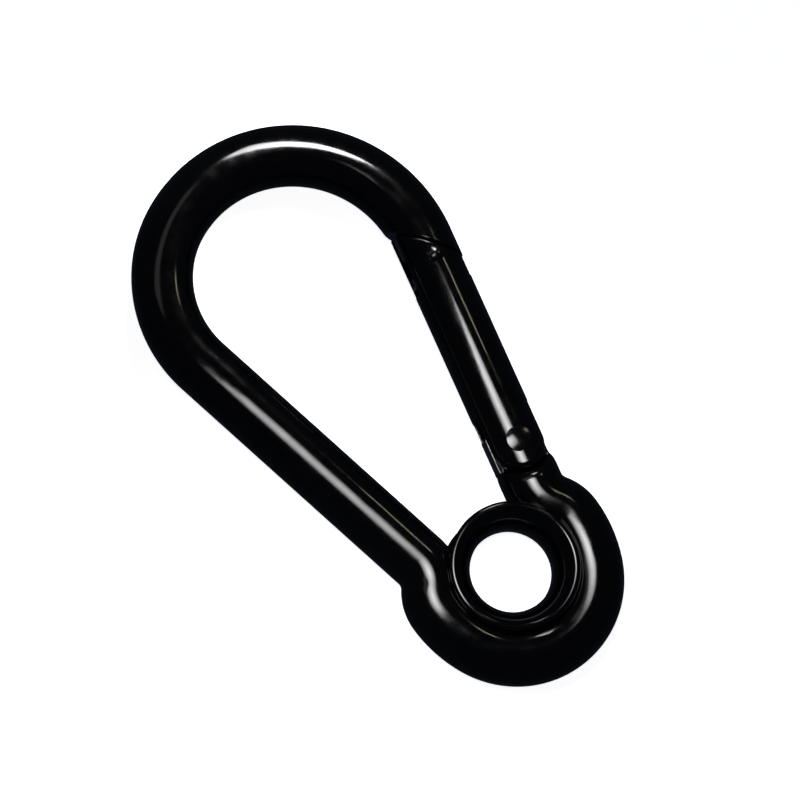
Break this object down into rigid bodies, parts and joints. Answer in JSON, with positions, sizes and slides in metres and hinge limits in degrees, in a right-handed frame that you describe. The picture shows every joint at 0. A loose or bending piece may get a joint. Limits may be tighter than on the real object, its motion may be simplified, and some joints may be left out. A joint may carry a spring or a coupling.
{
  "type": "carabiner keyring",
  "caption": "Black sprung snap hook bent from round rod, with a thimble eyelet for a key ring and a gate that swings inwards.",
  "frame": {"origin": "centre of the eyelet's bore, on the hook's mid-plane", "axes": "+Z along the eyelet's bore, +Y from the eyelet towards the bow, +X towards the gate"},
  "size_m": [0.0307, 0.06, 0.006],
  "materials": {
    "black_coat": "gloss",
    "black_pins": "gloss",
    "spring_steel": "satin",
    "plunger_steel": "satin"
  },
  "bodies": {
    "hook": {"body": "black_coat", "eyelet": "black_coat"},
    "gate": {"gate": "black_coat", "hinge_pin": "black_pins", "latch_pin": "black_pins", "gate_spring": "spring_steel"},
    "plunger": {"plunger": "plunger_steel"}
  },
  "joints": [
    {"name": "gate_hinge", "type": "hinge", "parent": "hook", "child": "gate", "pos_m": [0.0076, 0.00958, 0], "axis": [0, 0, 1], "range_deg": [0, 42], "stiffness_Nm_per_rad": 0.007, "springref_deg": -104.28},
    {"name": "plunger_slide", "type": "slide", "parent": "gate", "child": "plunger", "axis": [0.2122, 0.9772, 0], "range_m": [0, 0.00081], "deforming": ["gate_spring"]}
  ],
  "couplings": [
    {"joint": "plunger_slide", "follows": "gate_hinge", "m_per_rad": 0.0011}
  ]
}
